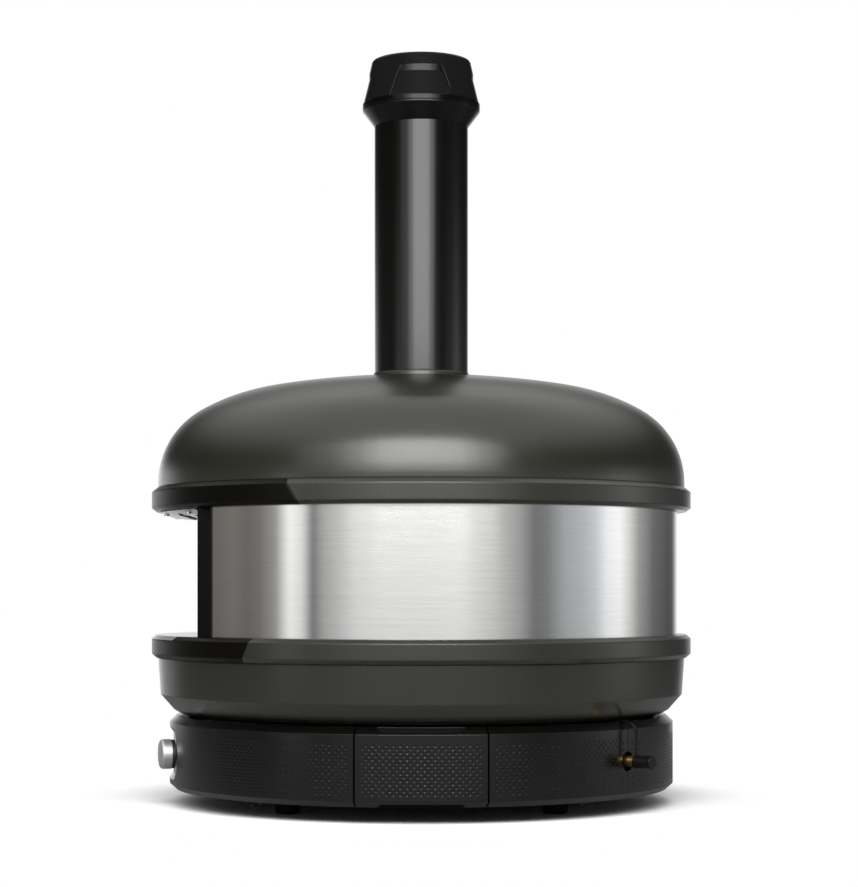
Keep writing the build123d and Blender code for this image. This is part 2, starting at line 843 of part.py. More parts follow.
with BuildPart() as gas_jet:
    with Locations((0, venturi_y, control_height)):
        Box(2 * jet_half, 2 * jet_half, 2 * jet_half)
    with Locations((0, venturi_y, base_bottom + shell_sheet)):
        Cylinder(
            jet_post_radius,
            control_height - base_bottom - shell_sheet,
            align=(Align.CENTER, Align.CENTER, Align.MIN),
        )
    with Locations((0, venturi_y, control_height)):
        Cylinder(
            jet_nozzle_radius,
            jet_half + jet_nozzle_height,
            align=(Align.CENTER, Align.CENTER, Align.MIN),
        )
        Cylinder(
            jet_nozzle_radius / 3,
            jet_half + jet_nozzle_height,
            align=(Align.CENTER, Align.CENTER, Align.MIN),
            mode=Mode.SUBTRACT,
        )
    with Locations(Plane((0, venturi_y - jet_half / 2, control_height), z_dir=(0, -1, 0))):
        Cylinder(
            pipe_radius,
            jet_half,
            align=(Align.CENTER, Align.CENTER, Align.MIN),
            mode=Mode.SUBTRACT,
        )
write_piece(gas_jet, "gas_jet")

# Casing below the ledges: a tapered tray with the lower ledge on its edge
casing_foot_in = 18.4
casing_corner_in = 7.2
casing_foot_up = 4.2
casing_flare_in = 2.8
casing_flare_up = 21.9
rim_sheet = 2.0
rim_width = 21.2
rim_chamfer_in = 5.2
lower_rim_chamfer_up = 4.8
lower_rim_chamfer_down = 4.4
lower_seam_bottom_turn = 51.9
lower_seam_top_turn = 54.3
upper_seam_bottom_turn = 65.7
upper_seam_top_turn = 62.4
rim_seam = 0.5

casing_foot_radius = casing_radius - casing_foot_in
casing_floor_radius = casing_foot_radius - casing_corner_in
casing_flare_radius = casing_radius - casing_flare_in
rim_inner_radius = rim_radius - rim_width
rim_flat_radius = rim_radius - rim_chamfer_in

with BuildPart() as lower_casing:
    turned(
        sheet_outline(
            [
                (0, casing_bottom),
                (casing_floor_radius, casing_bottom),
                (casing_foot_radius, casing_bottom + casing_foot_up),
                (casing_flare_radius, casing_bottom + casing_flare_up),
                (casing_radius, rim_bottom),
            ],
            thin_sheet,
        )
    )
    split(bisect_by=Plane.XY.offset(rim_bottom), keep=Keep.BOTTOM)
    with Locations((0, venturi_y, casing_bottom)):
        Cylinder(venturi_radius + slide_fit, thin_sheet * 4, mode=Mode.SUBTRACT)
    with PolarLocations(spacer_ring, spacer_count, start_angle=spacer_turn):
        Cylinder(spacer_bolt_radius + shaft_fit, 2 * casing_bottom + overrun, mode=Mode.SUBTRACT)
write_piece(lower_casing, "lower_casing")

lower_rim_outline = sheet_outline(
    [
        (rim_inner_radius, rim_bottom),
        (rim_flat_radius, rim_bottom),
        (rim_radius, rim_bottom + lower_rim_chamfer_up),
        (rim_radius, hearth_level - lower_rim_chamfer_down),
        (rim_flat_radius, hearth_level),
        (rim_inner_radius, hearth_level),
    ],
    rim_sheet,
)

# Mouth of the oven and the plate in front of it
mouth_half = 172.5
mouth_height = 125.0
mouth_corner_radius = 30.0
mouth_post_half = 194.0
mouth_frame_front = -250.0
mouth_frame_rear = -235.5
landing_half = 161.0
landing_sheet = 1.2
landing_cut = 10.0
landing_fit = 0.3


def landing_shape(extra):
    """The landing plate's outline seen from above, its front corners cut off."""
    half = landing_half + extra
    tip = -sqrt(rim_radius**2 - landing_half**2)
    with BuildPart() as block:
        with BuildSketch(Plane.XY):
            Polygon(
                (-half, mouth_frame_rear),
                (-half, tip + landing_cut),
                (-half + landing_cut, tip),
                (-half + landing_cut, -rim_radius - overrun),
                (half - landing_cut, -rim_radius - overrun),
                (half - landing_cut, tip),
                (half, tip + landing_cut),
                (half, mouth_frame_rear),
                align=None,
            )
        extrude(amount=hearth_level + overrun)
    return block.part


landing_inner = -mouth_frame_rear - thin_sheet
landing_run = [
    (rim_radius, hearth_level - lower_rim_chamfer_down),
    (rim_flat_radius, hearth_level),
    (landing_inner, hearth_level),
]

with BuildPart() as landing_plate:
    turned(
        sheet_outline(landing_run, landing_sheet),
        front - lower_seam_bottom_turn,
        2 * lower_seam_bottom_turn,
    )
    add(landing_shape(0), mode=Mode.INTERSECT)
write_piece(landing_plate, "landing_plate")

with BuildPart() as landing_pocket:
    turned(
        sheet_outline(landing_run, landing_sheet + shaft_fit),
        front - lower_seam_bottom_turn,
        2 * lower_seam_bottom_turn,
    )
    add(landing_shape(landing_fit), mode=Mode.INTERSECT)

lower_wedge = (rim_bottom, hearth_level, lower_seam_bottom_turn, lower_seam_top_turn)

with BuildPart() as lower_rim_front:
    turned(lower_rim_outline)
    add(wedge(front, *lower_wedge), mode=Mode.INTERSECT)
    add(landing_pocket.part, mode=Mode.SUBTRACT)
write_piece(lower_rim_front, "lower_rim_front")

with BuildPart() as lower_rim_rear:
    turned(lower_rim_outline)
    add(wedge(front, *lower_wedge, rim_seam), mode=Mode.SUBTRACT)
write_piece(lower_rim_rear, "lower_rim_rear")

# Stainless band between the ledges, open at the front
rivet_radius = 2.0
rivet_head_radius = 3.5
rivet_head_height = 1.2
band_ring = [
    (band_radius - thin_sheet, hearth_level),
    (band_radius, hearth_level),
    (band_radius, canopy_level),
    (band_radius - thin_sheet, canopy_level),
]

with BuildPart() as body_band:
    turned(band_ring)
    with Locations((0, mouth_frame_rear, canopy_level)):
        Box(
            2 * band_radius,
            2 * band_radius,
            2 * canopy_level,
            align=(Align.CENTER, Align.MAX, Align.CENTER),
            mode=Mode.SUBTRACT,
        )
write_piece(body_band, "body_band")


def mouth_shape(extra, skirt=0.0):
    """The mouth's outline in the upright plane, grown by an extra on every side."""
    with BuildSketch(Plane.XZ) as shape:
        with Locations((0, hearth_level - skirt)):
            Rectangle(
                2 * (mouth_half + extra),
                mouth_height + extra + skirt,
                align=(Align.CENTER, Align.MIN),
            )
        fillet(shape.vertices().group_by(Axis.Y)[-1], mouth_corner_radius + extra)
    return shape.sketch


mouth_frame_depth = mouth_frame_rear - mouth_frame_front
frame_height = canopy_level - hearth_level

with BuildPart() as frame_hollow:
    with BuildSketch(Plane.XZ.offset(-mouth_frame_rear)):
        with Locations((0, hearth_level + shell_sheet)):
            Rectangle(
                2 * (mouth_post_half - shell_sheet),
                frame_height - 2 * shell_sheet,
                align=(Align.CENTER, Align.MIN),
            )
    extrude(amount=mouth_frame_depth - shell_sheet)
    extrude(mouth_shape(shell_sheet, overrun), amount=2 * rim_radius, both=True, mode=Mode.SUBTRACT)

with BuildPart() as mouth_frame:
    with BuildSketch(Plane.XZ.offset(-mouth_frame_rear)):
        with Locations((0, hearth_level)):
            Rectangle(2 * mouth_post_half, frame_height, align=(Align.CENTER, Align.MIN))
    extrude(amount=mouth_frame_depth)
    extrude(mouth_shape(0, overrun), amount=2 * rim_radius, both=True, mode=Mode.SUBTRACT)
    add(frame_hollow.part, mode=Mode.SUBTRACT)
write_piece(mouth_frame, "mouth_frame")

# Upper ledge: its front piece is the canopy over the mouth
upper_rim_chamfer_up = 4.0
upper_rim_chamfer_down = 5.2
upper_rim_top_in = 6.2
upper_rim_top_width = 11.0

upper_rim_top_radius = rim_radius - upper_rim_top_in
upper_rim_inner_radius = upper_rim_top_radius - upper_rim_top_width

upper_rim_outline = sheet_outline(
    [
        (rim_inner_radius, canopy_level),
        (rim_flat_radius, canopy_level),
        (rim_radius, canopy_level + upper_rim_chamfer_up),
        (rim_radius, dome_base - upper_rim_chamfer_down),
        (upper_rim_top_radius, dome_base),
        (upper_rim_inner_radius, dome_base),
    ],
    rim_sheet,
)
upper_wedge = (canopy_level, dome_base, upper_seam_bottom_turn, upper_seam_top_turn)

# Canopy lining, with two slots that let hot air out, and its screws
lining_drop = 6.5
lining_edge_in = 5.0
lining_slope_width = 14.0
lining_half = 190.0
slot_half = 120.0
slot_width = 10.4
slot_front = -279.7
slot_rear = -262.2
lining_screw_in = 6.0
lining_screw_turns = (-30.0, -12.0, 12.0, 30.0)
lining_screw_radius = 1.6
lining_screw_head = 3.2
lining_screw_cap = 1.2

lining_edge_radius = rim_flat_radius - lining_edge_in
lining_flat_radius = lining_edge_radius - lining_slope_width
lining_screw_ring = lining_edge_radius - lining_screw_in
lining_level = canopy_level - lining_drop
lining_slope = lining_drop / (rim_flat_radius - lining_flat_radius)
lining_edge = lining_level + lining_slope * (lining_edge_radius - lining_flat_radius)
lining_screw_seat = lining_level + lining_slope * (
    lining_screw_ring - lining_screw_head - lining_flat_radius
)
lining_arc = degrees(lining_half / lining_edge_radius)


def lining_screw_holes():
    """Cut the holes for the canopy's screws."""
    for turn in lining_screw_turns:
        with Locations(around(lining_screw_ring, front + turn, canopy_level)):
            Cylinder(lining_screw_radius + shaft_fit, 4 * lining_drop, mode=Mode.SUBTRACT)


with BuildPart() as canopy_front:
    turned(upper_rim_outline)
    add(wedge(front, *upper_wedge), mode=Mode.INTERSECT)
    lining_screw_holes()
write_piece(canopy_front, "canopy_front")

with BuildPart() as upper_rim_rear:
    turned(upper_rim_outline)
    add(wedge(front, *upper_wedge, rim_seam), mode=Mode.SUBTRACT)
write_piece(upper_rim_rear, "upper_rim_rear")

with BuildPart() as canopy_lining:
    turned(
        sheet_outline(
            [
                (-mouth_frame_rear / 2, lining_level),
                (lining_flat_radius, lining_level),
                (lining_edge_radius, lining_edge),
            ],
            thin_sheet,
        ),
        front - lining_arc,
        2 * lining_arc,
    )
    with Locations((0, mouth_frame_front - landing_fit, canopy_level)):
        Box(
            2 * lining_half,
            2 * rim_radius,
            4 * lining_drop,
            align=(Align.CENTER, Align.MAX, Align.CENTER),
            mode=Mode.INTERSECT,
        )
    with BuildSketch(Plane.XY.offset(lining_level)):
        with Locations((0, slot_front + slot_width / 2), (0, slot_rear + slot_width / 2)):
            SlotOverall(2 * slot_half, slot_width)
    extrude(amount=lining_drop, mode=Mode.SUBTRACT)
    lining_screw_holes()
write_piece(canopy_lining, "canopy_lining")

with BuildPart() as canopy_screws:
    for turn in lining_screw_turns:
        with Locations(around(lining_screw_ring, front + turn, lining_screw_seat)):
            Cylinder(
                lining_screw_head, lining_screw_cap, align=(Align.CENTER, Align.CENTER, Align.MAX)
            )
            Cylinder(
                lining_screw_radius,
                canopy_level + 2 * rim_sheet - lining_screw_seat,
                align=(Align.CENTER, Align.CENTER, Align.MIN),
            )
write_piece(canopy_screws, "canopy_screws")

# Hot parts: the inner dome, the tray, the stone and the insulation
inner_radius = 231.5
inner_straight_rise = 129.5
inner_shoulder = 103.0
inner_crown = 205.0
inner_shoulder_turn = 55.0
tray_height = 40.0
insulation_gap = 0.5
stone_height = 15.0
stone_radius = 222.0
stone_rear = 178.0
insulation_clear = 3.0
blanket_thickness = 25.0

casing_floor = casing_bottom + thin_sheet
tray_top = casing_floor + tray_height
stone_bottom = hearth_level - stone_height
inner_straight_top = hearth_level + inner_straight_rise
shoulder_angle = radians(inner_shoulder_turn)
crown_level = (
    inner_straight_top + inner_shoulder * sin(shoulder_angle) + inner_crown * (1 - sin(shoulder_angle))
)
crown_radius = (
    inner_radius - inner_shoulder * (1 - cos(shoulder_angle)) - inner_crown * cos(shoulder_angle)
)
collar_radius_inner = flue_radius - thin_sheet - slide_fit - thin_sheet


def dome_face(side_radius, bottom, straight_top, arcs, top_point):
    """Half the outline of a dome: a straight side, two arcs that follow on, and a crown."""
    with BuildSketch(Plane.XZ) as profile:
        with BuildLine():
            side = Line((side_radius, bottom), (side_radius, straight_top))
            shoulder = JernArc(side @ 1, side % 1, arcs[0][0], arcs[0][1])
            haunch = JernArc(shoulder @ 1, shoulder % 1, arcs[1][0], arcs[1][1])
            if top_point is None:
                edge = haunch @ 1
            else:
                crown = TangentArc(haunch @ 1, top_point, tangent=haunch % 1)
                edge = crown @ 1
            Polyline(edge, (0, edge.Y), (0, bottom), (side_radius, bottom))
        make_face()
    return profile.sketch


def inner_dome_offset(gap):
    """The inner dome's outline, grown by a gap, with its arcs about the same centres."""
    return dome_face(
        inner_radius + gap,
        casing_floor,
        inner_straight_top,
        (
            (inner_shoulder + gap, inner_shoulder_turn),
            (inner_crown + gap, quarter_turn - inner_shoulder_turn),
        ),
        None,
    )


with BuildPart() as inner_dome:
    revolve(inner_dome_offset(0), Axis.Z)
    offset(
        amount=-thin_sheet,
        openings=inner_dome.faces().sort_by(Axis.Z)[0],
    )
    with Locations((0, 0, crown_level)):
        Cylinder(collar_radius_inner, 4 * thin_sheet, mode=Mode.SUBTRACT)
    extrude(
        mouth_shape(thin_sheet + shaft_fit, thin_sheet + shaft_fit),
        amount=rim_radius,
        mode=Mode.SUBTRACT,
    )
write_piece(inner_dome, "inner_dome")

with BuildPart() as mouth_liner:
    extrude(mouth_shape(thin_sheet, thin_sheet), amount=-mouth_frame_rear)
    extrude(mouth_shape(0, 0), amount=rim_radius, mode=Mode.SUBTRACT)
    turned(
        [
            (0, hearth_level - overrun),
            (stone_radius + slide_fit, hearth_level - overrun),
            (stone_radius + slide_fit, canopy_level),
            (0, canopy_level),
        ],
        mode=Mode.SUBTRACT,
    )
write_piece(mouth_liner, "mouth_liner")

inner_face = inner_radius - thin_sheet

with BuildPart() as hearth_tray:
    turned(
        sheet_outline(
            [(inner_face - slide_fit, casing_floor), (inner_face - slide_fit, tray_top), (0, tray_top)],
            thin_sheet,
        )
    )
    with Locations((0, venturi_y, tray_top)):
        Cylinder(venturi_radius + slide_fit, thin_sheet * 4, mode=Mode.SUBTRACT)
write_piece(hearth_tray, "hearth_tray")


def hearth_slab(radius, bottom, top):
    """A round slab with its rear cut straight, in front of the burner."""
    with BuildPart() as slab:
        with BuildSketch(Plane.XY.offset(bottom)):
            Circle(radius)
            with Locations((0, stone_rear)):
                Rectangle(2 * radius, radius, align=(Align.CENTER, Align.MIN), mode=Mode.SUBTRACT)
        extrude(amount=top - bottom)
    return slab.part


with BuildPart() as hearth_stone:
    add(hearth_slab(stone_radius, stone_bottom, hearth_level))
write_piece(hearth_stone, "hearth_stone")


with BuildPart() as insulation:
    revolve(inner_dome_offset(insulation_gap + blanket_thickness), Axis.Z)
    revolve(inner_dome_offset(insulation_gap), Axis.Z, mode=Mode.SUBTRACT)
    with Locations((0, 0, crown_level)):
        Cylinder(crown_radius, 2 * collar_height, mode=Mode.SUBTRACT)
    extrude(
        mouth_shape(thin_sheet + insulation_clear, thin_sheet + insulation_clear),
        amount=2 * rim_radius,
        mode=Mode.SUBTRACT,
    )
    with Locations((0, mouth_frame_rear + insulation_clear, (hearth_level + canopy_level) / 2)):
        Box(
            2 * rim_radius,
            rim_radius,
            band_height + 4 * shell_sheet,
            align=(Align.CENTER, Align.MAX, Align.CENTER),
            mode=Mode.SUBTRACT,
        )
    add(hearth_slab(stone_radius, tray_top, stone_bottom))
write_piece(insulation, "insulation")

# Burner behind the stone: a bent tube with two welded posts, fed from below by the venturi
burner_radius = 11.0
burner_bore = 10.0
burner_half = 30.0
burner_lift = 15.5
burner_ports = 17
burner_port_radius = 1.5
burner_port_share = 0.9
burner_post_radius = 4.0
burner_post_turn = 15.0
venturi_bore = 9.0
venturi_tube_radius = 10.0
venturi_mouth_gap = 6.0
electrode_azimuth = 80.0
electrode_ring = 188.0
electrode_radius = 3.5
electrode_wire = 1.0
electrode_rise = 18.0

burner_level = hearth_level + burner_lift
burner_start = rear - burner_half
burner_end = rear + burner_half

with BuildPart() as burner_tube:
    pipe_about(venturi_y, burner_level, burner_radius, burner_start, burner_end)
    for turn in (-burner_post_turn, burner_post_turn):
        with Locations(around(venturi_y, rear + turn, tray_top)):
            Cylinder(
                burner_post_radius,
                burner_level - tray_top,
                align=(Align.CENTER, Align.CENTER, Align.MIN),
            )
    end_turn = degrees((burner_radius - burner_bore) / venturi_y)
    pipe_about(
        venturi_y, burner_level, burner_bore, burner_start + end_turn, burner_end - end_turn,
        Mode.SUBTRACT,
    )
    for port in range(burner_ports):
        turn = (2 * port / (burner_ports - 1) - 1) * burner_half * burner_port_share
        with Locations(radial_plane(rear + turn, venturi_y, burner_level)):
            Cylinder(
                burner_port_radius,
                2 * burner_radius,
                align=(Align.CENTER, Align.CENTER, Align.MAX),
                mode=Mode.SUBTRACT,
            )
    with Locations((0, venturi_y, burner_level)):
        Cylinder(
            venturi_bore,
            2 * burner_radius,
            align=(Align.CENTER, Align.CENTER, Align.MAX),
            mode=Mode.SUBTRACT,
        )
write_piece(burner_tube, "burner_tube")

with BuildPart() as burner_outside:
    pipe_about(venturi_y, burner_level, burner_radius, burner_start, burner_end)

venturi_bottom = control_height + jet_half + jet_nozzle_height + venturi_mouth_gap

with BuildPart() as venturi_tube:
    with BuildSketch(Plane((0, venturi_y, venturi_bottom))):
        Circle(venturi_tube_radius)
        Circle(venturi_bore, mode=Mode.SUBTRACT)
    extrude(amount=burner_level - venturi_bottom)
    add(burner_outside.part, mode=Mode.SUBTRACT)
write_piece(venturi_tube, "venturi_tube")

with BuildPart() as igniter_electrode:
    with Locations(around(electrode_ring, electrode_azimuth, tray_top)):
        Cylinder(
            electrode_radius,
            burner_level - burner_radius - tray_top,
            align=(Align.CENTER, Align.CENTER, Align.MIN),
        )
        Cylinder(
            electrode_wire,
            burner_level - burner_radius - tray_top + electrode_rise,
            align=(Align.CENTER, Align.CENTER, Align.MIN),
        )
write_piece(igniter_electrode, "igniter_electrode")

# Outer dome with the rolled neck that the flue stands on
with BuildPart() as outer_dome:
    revolve(
        dome_face(
            dome_radius,
            dome_base,
            dome_base + dome_straight,
            ((dome_shoulder, dome_shoulder_turn), (dome_haunch, dome_haunch_turn)),
            (neck_foot_radius, neck_foot_level),
        ),
        Axis.Z,
    )
    offset(amount=-shell_sheet, openings=outer_dome.faces().sort_by(Axis.Z)[0])
    turned(
        [
            (neck_inner, neck_foot_level - shell_sheet),
            (neck_foot_radius, neck_foot_level - shell_sheet),
            (neck_foot_radius, neck_foot_level),
            (neck_top_radius, flue_base),
            (neck_inner, flue_base),
        ]
    )
    with Locations((0, 0, flue_base)):
        Cylinder(neck_inner, 2 * overrun, mode=Mode.SUBTRACT)
write_piece(outer_dome, "outer_dome")

# Flue: a collar on the inner dome, a pipe that lifts off, and its cowl
with BuildPart() as flue_collar:
    turned(
        sheet_outline(
            [
                (collar_flange_radius, crown_level),
                (collar_radius - thin_sheet, crown_level),
                (collar_radius - thin_sheet, flue_base + collar_overlap),
            ],
            -thin_sheet,
        )
    )
write_piece(flue_collar, "flue_collar")

with BuildPart() as flue_pipe:
    turned(
        [
            (flue_radius - thin_sheet, flue_base + slide_fit),
            (flue_radius, flue_base + slide_fit),
            (flue_radius, flue_top),
            (flue_radius - thin_sheet, flue_top),
        ]
    )
write_piece(flue_pipe, "flue_pipe")

with BuildPart() as flue_cowl:
    turned(
        sheet_outline(
            [
                (flue_radius, flue_top),
                (cowl_radius, flue_top + cowl_height),
                (cowl_radius, flue_top + cowl_height + cowl_lip),
            ],
            thin_sheet,
        )
    )
    split(bisect_by=Plane.XY.offset(flue_top), keep=Keep.TOP)
write_piece(flue_cowl, "flue_cowl")


def draught_openings():
    """Cut the damper's openings, an eighth of a turn each and as far apart."""
    for quarter in range(damper_openings):
        turned(
            [
                (damper_hub, damper_level - overrun),
                (damper_hole_radius, damper_level - overrun),
                (damper_hole_radius, damper_level + overrun),
                (damper_hub, damper_level + overrun),
            ],
            quarter * 360 / damper_openings + damper_start_turn,
            180 / damper_openings,
            Mode.SUBTRACT,
        )
    with Locations((0, 0, damper_level)):
        Cylinder(rivet_radius + shaft_fit, 2 * overrun, mode=Mode.SUBTRACT)


cowl_turn = atan2(cowl_radius - flue_radius, cowl_height)
damper_level = flue_top + cowl_height + thin_sheet * tan(cowl_turn / 2)
rotor_level = damper_level + thin_sheet + slide_fit
cap_bottom = flue_top + cowl_height + cowl_lip + slide_fit

with BuildPart() as damper_plate:
    with BuildSketch(Plane.XY.offset(damper_level)):
        Circle(cowl_radius - thin_sheet)
    extrude(amount=thin_sheet)
    draught_openings()
write_piece(damper_plate, "damper_plate")

with BuildPart() as damper_rotor:
    with BuildSketch(Plane.XY.offset(rotor_level)):
        Circle(cap_radius - cap_sheet)
    extrude(amount=thin_sheet)
    draught_openings()
write_piece(damper_rotor, "damper_rotor")

with BuildPart() as damper_rivet:
    with Locations((0, 0, damper_level)):
        Cylinder(
            rivet_head_radius, rivet_head_height, align=(Align.CENTER, Align.CENTER, Align.MAX)
        )
        Cylinder(
            rivet_radius,
            2 * thin_sheet + 2 * slide_fit,
            align=(Align.CENTER, Align.CENTER, Align.MIN),
        )
    with Locations((0, 0, rotor_level + thin_sheet + slide_fit)):
        Cylinder(
            rivet_head_radius, rivet_head_height, align=(Align.CENTER, Align.CENTER, Align.MIN)
        )
write_piece(damper_rivet, "damper_rivet")

# Cap that turns on the cowl to close the damper, with a shallow scoop on each side
cap_foot = cap_bottom + cap_lip
cap_slope = (cap_radius - cap_round_radius) / (cap_top - cap_round_drop - cap_foot)
scoop_top = cap_top - scoop_drop
scoop_radius = cap_radius - cap_slope * (scoop_top - cap_foot)

with BuildPart() as scoop_ring:
    turned(
        [
            (scoop_radius, scoop_top),
            (scoop_radius, scoop_top - scoop_lip_height),
            (cap_radius - scoop_foot_in, cap_foot),
            (cap_radius + overrun, cap_foot),
            (cap_radius + overrun, scoop_top),
        ]
    )


def scoop_at(azimuth):
    """What a scoop takes out of the cap: a rounded trapezium, seen along the radius."""
    with BuildPart() as scoop:
        with BuildSketch(radial_plane(azimuth, scoop_high_half, cap_foot)) as outline:
            Polygon(
                (-scoop_low_half, 0),
                (scoop_low_half, 0),
                (scoop_high_half, scoop_top - cap_foot),
                (-scoop_high_half, scoop_top - cap_foot),
                align=None,
            )
            fillet(outline.vertices().sort_by(Axis.Z)[-2:], scoop_corner)
        extrude(amount=cap_radius)
    return scoop.part & scoop_ring.part


with BuildPart() as flue_cap:
    turned(
        sheet_outline(
            [
                (cap_radius, cap_bottom),
                (cap_radius, cap_foot),
                (cap_round_radius, cap_top - cap_round_drop),
                (cap_top_radius, cap_top),
                (cap_mouth_radius, cap_top),
            ],
            cap_sheet,
        )
    )
    for quarter in range(damper_openings):
        add(scoop_at(quarter * 360 / damper_openings), mode=Mode.SUBTRACT)
write_piece(flue_cap, "flue_cap")
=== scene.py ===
import json
import math

import bpy
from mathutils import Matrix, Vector


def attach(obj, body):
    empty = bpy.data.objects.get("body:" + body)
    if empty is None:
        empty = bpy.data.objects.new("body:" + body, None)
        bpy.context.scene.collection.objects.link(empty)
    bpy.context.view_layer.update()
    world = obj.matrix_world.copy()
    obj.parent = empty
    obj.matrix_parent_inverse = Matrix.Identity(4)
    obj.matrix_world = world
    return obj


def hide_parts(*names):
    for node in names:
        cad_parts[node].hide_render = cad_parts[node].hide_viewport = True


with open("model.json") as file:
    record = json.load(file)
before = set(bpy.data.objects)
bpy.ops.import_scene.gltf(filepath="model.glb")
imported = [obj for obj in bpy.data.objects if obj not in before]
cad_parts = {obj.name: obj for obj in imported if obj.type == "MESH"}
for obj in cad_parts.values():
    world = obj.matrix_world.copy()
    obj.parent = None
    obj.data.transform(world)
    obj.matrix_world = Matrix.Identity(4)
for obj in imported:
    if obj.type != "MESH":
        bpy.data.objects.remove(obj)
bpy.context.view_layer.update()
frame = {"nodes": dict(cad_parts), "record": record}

nodes = frame["nodes"]


# Node trees


class Value:
    """An output of a node, which Python's operators join to Math nodes."""

    def __init__(self, owner, socket):
        self.owner = owner
        self.socket = socket

    def at(self, name):
        """Another output of the same node."""
        return Value(self.owner, self.socket.node.outputs[name])

    def maths(self, operation, *others):
        inputs = dict(enumerate((self, *others)))
        return self.owner.node("ShaderNodeMath", {"operation": operation}, inputs)

    def __add__(self, other):
        return self.maths("ADD", other)

    def __sub__(self, other):
        return self.maths("SUBTRACT", other)

    def __rsub__(self, other):
        return self.maths("MULTIPLY", -1.0).maths("ADD", other)

    def __mul__(self, other):
        return self.maths("MULTIPLY", other)

    def __truediv__(self, other):
        return self.maths("DIVIDE", other)

    def __pow__(self, other):
        return self.maths("POWER", other)

    __radd__ = __add__
    __rmul__ = __mul__

    def swing(self, amount):
        """A noise from 0 to 1 as a departure from none, of half the amount at most."""
        return (self - 0.5) * amount

    def band(self, low, high):
        """0 at low, 1 at high and smooth between them."""
        settings = {"interpolation_type": "SMOOTHSTEP"}
        inputs = {"Value": self, "From Min": low, "From Max": high}
        return self.owner.node("ShaderNodeMapRange", settings, inputs)


class NodeTree:
    """A node tree that is built node by node."""

    def __init__(self, tree):
        self.tree = tree
        self.tree.nodes.clear()

    def node(self, kind, settings=None, inputs=None):
        """Adds a node: settings first, then inputs by name or number. Gives its first output."""
        made = self.tree.nodes.new(kind)
        for name, setting in (settings or {}).items():
            if name == "stops":
                ramp = made.color_ramp.elements
                while len(ramp) < len(setting):
                    ramp.new(0.5)
                for stop, (position, color) in zip(ramp, setting):
                    stop.position = position
                    stop.color = opaque(color)
            else:
                setattr(made, name, setting)
        for name, given in (inputs or {}).items():
            if isinstance(given, Value):
                self.tree.links.new(given.socket, made.inputs[name])
            else:
                made.inputs[name].default_value = given
        return Value(self, made.outputs[0]) if len(made.outputs) else None

    def vector(self, x, y, z):
        return self.node("ShaderNodeCombineXYZ", None, {"X": x, "Y": y, "Z": z})

    def axes(self, vector):
        """The X, Y and Z of a vector."""
        split = self.node("ShaderNodeSeparateXYZ", None, {"Vector": vector})
        return split.at("X"), split.at("Y"), split.at("Z")


def opaque(color):
    """A colour as its socket takes it: with its alpha, or straight from a node."""
    return color if isinstance(color, Value) else (*color, 1.0)


def scaled(color, factor, lift=0.0):
    return [factor * part + lift for part in color]


class Shading(NodeTree):
    """The shader nodes of a material or of the world."""

    def grey(self, level):
        channels = {"Red": level, "Green": level, "Blue": level}
        return self.node("ShaderNodeCombineColor", None, channels)

    def blend(self, share, first, second):
        """A colour between two colours, by share."""
        # The Mix node's colours are its inputs 6 and 7 and its output 2
        inputs = {0: share, 6: opaque(first), 7: opaque(second)}
        made = self.node("ShaderNodeMix", {"data_type": "RGBA"}, inputs)
        return made.at(2)

    def rays(self):
        """Two values: 1 for what the camera sees itself, and 1 for what shiny pieces show."""
        path = self.node("ShaderNodeLightPath")
        shiny = path.at("Is Glossy Ray").maths("MAXIMUM", path.at("Is Transmission Ray"))
        return path.at("Is Camera Ray"), shiny


class Finish(Shading):
    """A procedural material on Object coordinates."""

    def __init__(self, name):
        self.material = bpy.data.materials.new(name)
        self.material.use_nodes = True
        super().__init__(self.material.node_tree)
        self.place = self.node("ShaderNodeTexCoord").at("Object")

    def noise(self, scale, detail, rough=0.5, place=None):
        place = place or self.place
        inputs = {"Vector": place, "Scale": scale, "Detail": detail, "Roughness": rough}
        return self.node("ShaderNodeTexNoise", None, inputs)

    def stretched(self, scale):
        """Object coordinates times a scale for each axis."""
        return self.node("ShaderNodeMapping", None, {"Vector": self.place, "Scale": scale})

    def relief(self, height, distance, strength, **normal):
        """A normal that follows height, on top of the piece's own or of the given Normal."""
        inputs = {"Height": height, "Distance": distance, "Strength": strength, **normal}
        return self.node("ShaderNodeBump", None, inputs)

    def surface(self, color, rough, metal, normal, others=None):
        """Ends the tree in the material's shader, and gives the material."""
        inputs = {"Base Color": color, "Roughness": rough, "Metallic": metal, "Normal": normal}
        inputs.update(others or {})
        shader = self.node("ShaderNodeBsdfPrincipled", None, inputs)
        self.node("ShaderNodeOutputMaterial", None, {"Surface": shader})
        return self.material


# Finishes

# Brush lines: the noise's scale per metre, along them and across them
ALONG = 14.0
ACROSS = 1500.0

# Where the gas controls are
KNOB_AZIMUTH = math.radians(-75.5)
CONTROL_HEIGHT = 0.0619


def cross_lines(finish):
    """Brush lines along X, from one side of the mouth to the other."""
    return finish.stretched((ALONG, ACROSS, ACROSS))


def upright_lines(finish):
    """Draw lines along the upright axis, as on a drawn pin or pipe."""
    return finish.stretched((ACROSS, ACROSS, ALONG))


def turned_lines(finish):
    """Brush lines that run level round the upright axis."""
    x, y, z = finish.axes(finish.place)
    angle = y.maths("ARCTAN2", x)
    radius = (x * x + y * y) ** 0.5
    return finish.vector(angle * 4.0, radius * 60.0, z * 480.0)


